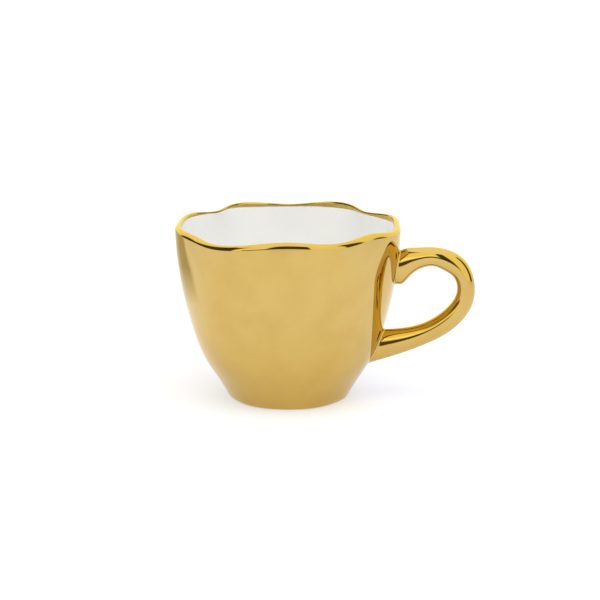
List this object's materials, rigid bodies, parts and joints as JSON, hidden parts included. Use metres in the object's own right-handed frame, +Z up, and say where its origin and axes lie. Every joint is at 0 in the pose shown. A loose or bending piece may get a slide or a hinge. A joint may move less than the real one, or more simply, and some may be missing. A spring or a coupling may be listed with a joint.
{
  "type": "teacup",
  "caption": "Handled porcelain teacup with a softly scalloped rim, white glazed inside, gold lustre outside and an open ear-shaped handle.",
  "frame": {"origin": "bottom centre of the whole cup's box, handle included, on the plane that the cup stands on", "axes": "+Z up along the cup's axis, +X from the cup towards the handle"},
  "size_m": [0.1336, 0.0982, 0.0803],
  "materials": {
    "bare_porcelain": "satin",
    "gold_lustre": "polished",
    "white_glaze": "gloss",
    "gold_lustre_handle": "polished",
    "gilt_slip": "polished"
  },
  "bodies": {
    "root": {"cup_body": "bare_porcelain", "gold_lustre_coat": "gold_lustre", "white_glaze_lining": "white_glaze", "handle": "gold_lustre_handle", "upper_handle_slip": "gilt_slip", "lower_handle_slip": "gilt_slip"}
  },
  "joints": []
}
